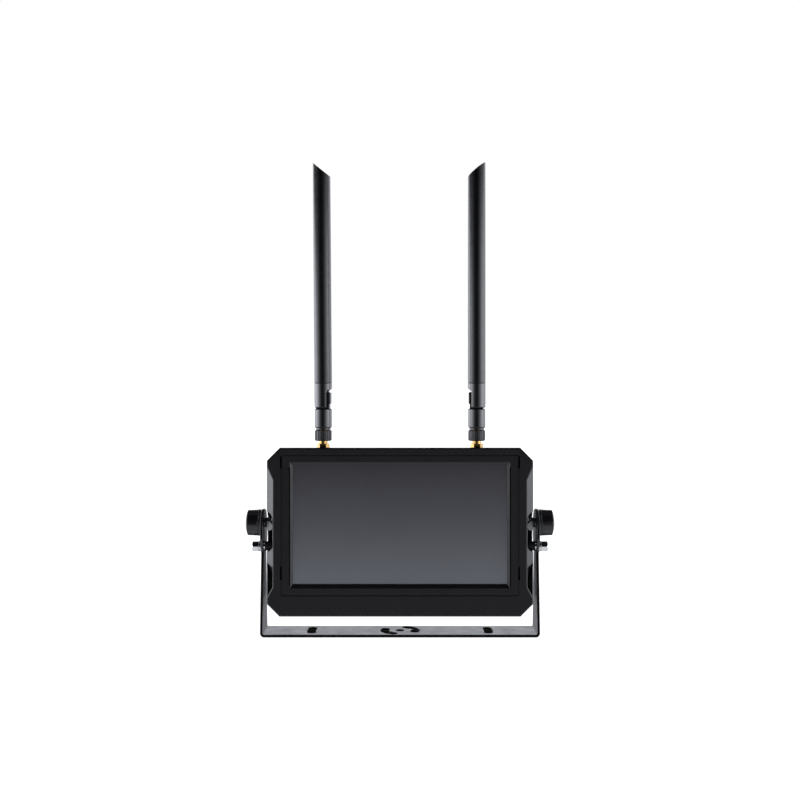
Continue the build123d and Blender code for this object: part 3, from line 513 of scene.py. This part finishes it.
# ---------------------------------------------------------------- rounded pieces
# edge rounding in mm, its segments, the nodes that get it
ROUNDING = [
    (0.45, 3, "u_bracket"),
    (0.12, 2, "front_bezel"),
    (0.07, 2, "screen_frame"),
    (0.25, 2, "rear_housing"),
    (0.15, 2, "cover_lens"),
    (0.2, 2, "side_pads pivot_spacers lock_spacers side_inserts"),
    (0.12, 2, "lock_flat_washers lock_bolts"),
    (0.25, 3, "knob_left knob_right"),
    (0.12, 2, "knob_washer_left knob_washer_right"),
    (0.1, 2, "sma_nuts"),
    (0.05, 1, "sma_lock_washers"),
    (0.12, 2, "power_socket housing_screws"),
    (0.07, 2, "antenna_nut_left antenna_nut_right"),
    (0.15, 2, "antenna_sleeve_left antenna_sleeve_right"),
    (0.1, 2, "antenna_hinge_pin_left antenna_hinge_pin_right"),
    (0.15, 2, "antenna_hinge_housing_left antenna_hinge_housing_right"),
    (0.25, 2, "antenna_radome_left antenna_radome_right"),
    (0.1, 2, "button_power button_menu button_down button_up button_source"),
]
# hidden from reflections, so the side facets mirror the soft boxes past them
UNMIRRORED = {"u_bracket", "knob_left", "knob_right", "knob_washer_left", "knob_washer_right"}

for width, segments, names in ROUNDING:
    for node_name in names.split():
        shell = round_cad(node_name, width, segments, **SPECIAL.get(node_name, {}))
        if node_name in UNMIRRORED:
            shell.visible_glossy = False

# ---------------------------------------------------------------- spring washers
WASHER_BORE_RADIUS = 2.12 * MM
WASHER_THICKNESS = 1.12 * MM
WASHER_SPACE = 1.4 * MM          # room along the bolt
WASHER_END_GAP = 0.02 * MM
WASHER_RIM_GAP = 0.03 * MM
WASHER_CHAMFER = 0.12 * MM
WASHER_SPLIT = radians(11)
WASHER_STEPS = 120


def washer_section(inner, outer, thick, cut):
    """(radius, height) points round a rectangle whose corners are cut and slightly rounded."""
    third = cut / 3
    return [(inner + cut, 0), (outer - cut, 0), (outer - third, third), (outer, cut),
            (outer, thick - cut), (outer - third, thick - third), (outer - cut, thick),
            (inner + cut, thick), (inner + third, thick - third), (inner, thick - cut),
            (inner, cut), (inner + third, third)]


def spring_washers():
    """Split rings: a section swept almost once round, its ends stepped apart along the bolt."""
    node = "lock_spring_washers"
    low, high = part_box(node)
    axis_z = bolt_height()
    section = washer_section(WASHER_BORE_RADIUS, (high[1] - low[1]) / 2 - WASHER_RIM_GAP,
                             WASHER_THICKNESS, WASHER_CHAMFER)
    start_x = high[0] - WASHER_SPACE + WASHER_END_GAP
    rise = high[0] - WASHER_END_GAP - start_x - WASHER_THICKNESS
    bm = bmesh.new()
    for side in (-1, 1):
        rings = []
        for i in range(WASHER_STEPS + 1):
            part = i / WASHER_STEPS
            angle = WASHER_SPLIT / 2 + part * (2 * pi - WASHER_SPLIT)
            x = start_x + rise * part
            rings.append([bm.verts.new((side * (x + height), radius * sin(angle),
                                        axis_z + radius * cos(angle)))
                          for radius, height in section])
        for ring, following in zip(rings, rings[1:]):
            for k in range(len(section)):
                j = (k + 1) % len(section)
                bm.faces.new((ring[k], ring[j], following[j], following[k]))
        bm.faces.new(rings[0])
        bm.faces.new(list(reversed(rings[-1])))
    bmesh.ops.recalc_face_normals(bm, faces=bm.faces)
    finish_shell(bm, node, sharp=50.0)


spring_washers()

# ---------------------------------------------------------------- floor
FLOOR_Z = -0.3 * MM
# the floor's painted shadow under the base:
SHADE_INSET = (3.5 * MM, 0.5 * MM)    # the shade fades out between these, inside the base's edge
SHADE_LEVEL = 0.004


def floor_material():
    """White and glowing, with a painted shadow under the bracket's base: darker colour and no glow
    there.
    """
    m = Mat("floor_white")
    x, y, z = m.axes(m.coords)
    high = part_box("u_bracket")[1]
    clear_x, clear_y = (
        m.smooth(m.math("ABSOLUTE", axis), span=[half - inset for inset in SHADE_INSET],
                 to=(0.0, 1.0))
        for axis, half in ((x, high[0]), (y, high[1])))
    # clear is 1 away from the base and 0 in the painted shadow under it
    clear = m.math("MAXIMUM", clear_x, clear_y)

    def grey(level):
        value = m.math("MULTIPLY_ADD", clear, level - SHADE_LEVEL, SHADE_LEVEL)
        return m.combine([value] * 3)

    m.set(Base_Color=grey(0.88), Emission_Color=grey(1.0), Emission_Strength=1.1,
          Roughness=1.0, Specular_IOR_Level=0.0)
    return m.material


def make_floor():
    bm = bmesh.new()
    bmesh.ops.create_grid(bm, x_segments=8, y_segments=8, size=6.0)
    mesh = bpy.data.meshes.new("floor")
    bm.to_mesh(mesh)
    bm.free()
    floor = add_object("floor", mesh)
    floor.location = (0, 0, FLOOR_Z)
    mesh.materials.append(floor_material())
    floor.visible_glossy = False


make_floor()

# ---------------------------------------------------------------- studio light
# degrees round from the camera side, brightness of the wall and soft box there
LEFT = [(0, 0.05), (20, 0.10), (33, 0.40), (47, 1.2), (62, 2.7), (78, 4.2), (96, 5.6),
        (118, 3.8), (150, 1.8), (180, 1.7)]
RIGHT = [(0, 0.06), (16, 0.20), (24, 0.55), (36, 1.1), (50, 2.2), (65, 3.4), (81, 4.3),
         (100, 3.0), (123, 2.0), (150, 1.6), (180, 1.7)]
# degrees round, z of the view direction at the soft box's upper edge
LEFT_TOP = [(0, 0.07), (78, 0.078), (96, 0.095), (118, 0.14), (150, 0.30), (180, 0.42)]
RIGHT_TOP = [(0, 0.14), (81, 0.14), (100, 0.17), (123, 0.24), (150, 0.34), (180, 0.42)]
BRIGHT_SCALE, TOP_SCALE = 6.0, 0.5    # keep the ramps' colours within 0 to 1
TOP_SOFTNESS = 0.035
ABOVE, BELOW = 0.05, 0.58        # wall brightness left over the soft boxes and under the horizon
TABLE = 0.85
TINT = (0.96, 0.99, 1.06)


def make_world():
    """Soft boxes at the sides, a half-shaded back and a bright table; the camera sees white."""
    world = bpy.data.worlds.new("studio")
    scene.world = world
    world.use_nodes = True
    world.node_tree.nodes.clear()
    g = Graph(world.node_tree)
    x, y, z = g.axes(g.node("ShaderNodeTexCoord").outputs["Generated"])
    turn = g.math("ARCTAN2", g.math("ABSOLUTE", x), g.multiply(y, -1.0))
    degrees = g.multiply(turn, 180 / pi)
    around = g.math("DIVIDE", degrees, 180.0)

    def profile(stops, scale):
        grey = [(angle / 180, (value / scale,) * 3) for angle, value in stops]
        return g.multiply(g.ramp(around, grey), scale)

    def half(stops, tops):
        over = g.math("SUBTRACT", z, profile(tops, TOP_SCALE))
        fade = g.smooth(g.math("DIVIDE", over, TOP_SOFTNESS), span=(-1.0, 1.0), to=(1.0, ABOVE))
        return g.multiply(profile(stops, BRIGHT_SCALE), fade)

    def rest(value):
        return g.math("SUBTRACT", 1.0, value)

    on_right = g.math("GREATER_THAN", x, 0.0)
    walls = g.add(g.multiply(half(RIGHT, RIGHT_TOP), on_right),
                  g.multiply(half(LEFT, LEFT_TOP), rest(on_right)))
    walls = g.multiply(walls, g.smooth(z, span=(-0.12, 0.0), to=(BELOW, 1.0)))
    # the back is in half shade low down
    low = g.multiply(g.smooth(degrees, span=(135, 160), to=(0.0, 0.5)),
                     g.smooth(z, span=(0.13, 0.20), to=(1.0, 0.0)))
    walls = g.multiply(walls, rest(low))
    table = g.smooth(z, span=(-0.21, -0.38), to=(0.0, 1.0))
    # the rear of the table lies in shade
    shade = g.smooth(y, span=(0.10, 0.45), to=(1.0, 0.15))
    total = g.add(g.multiply(walls, rest(table)), g.multiply(g.multiply(table, TABLE), shade))
    studio = g.node("ShaderNodeBackground",
                    Color=g.combine([g.multiply(total, tint) for tint in TINT]))
    white = g.node("ShaderNodeBackground", Color=(1, 1, 1))
    choice = g.node("ShaderNodeMixShader")
    is_camera = g.node("ShaderNodeLightPath").outputs["Is Camera Ray"]
    for socket, value in zip(choice.inputs, (is_camera, studio.outputs[0], white.outputs[0])):
        g.put(socket, value)
    g.node("ShaderNodeOutputWorld", Surface=choice.outputs[0])


make_world()
scene.view_settings.view_transform = "Standard"
scene.view_settings.look = "None"

# ---------------------------------------------------------------- camera
camera = bpy.data.cameras.new("camera")
camera.sensor_width = 36.0
camera.lens = 52.182
camera.shift_y = -0.03475
camera.clip_start = 0.05
camera.clip_end = 50
camera_object = add_object("camera", camera)
camera_object.location = (0, -0.845, 0.190)
camera_object.rotation_euler = (radians(90), 0, 0)
scene.camera = camera_object
